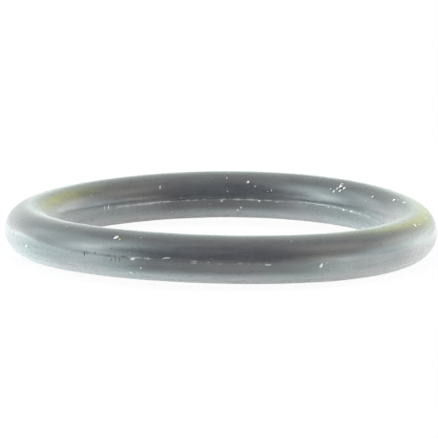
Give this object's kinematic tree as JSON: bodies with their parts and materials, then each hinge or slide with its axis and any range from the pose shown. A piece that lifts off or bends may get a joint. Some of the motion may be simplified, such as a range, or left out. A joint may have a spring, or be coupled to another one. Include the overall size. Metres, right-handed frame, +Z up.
{
  "type": "o-ring",
  "caption": "Moulded black rubber O-ring of round section with a fine parting ridge, slightly out of flat from use.",
  "frame": {"origin": "on the ring's axis, level with the lowest points that it rests on", "axes": "+Z up along the ring's axis; the high sides of the slight warp lie at 70.4 degrees from +X towards +Y and opposite, and the low sides at right angles to them"},
  "size_m": [0.0322, 0.0322, 0.0039],
  "materials": {
    "black_rubber": "satin"
  },
  "bodies": {
    "root": {"o_ring": "black_rubber"}
  },
  "joints": []
}
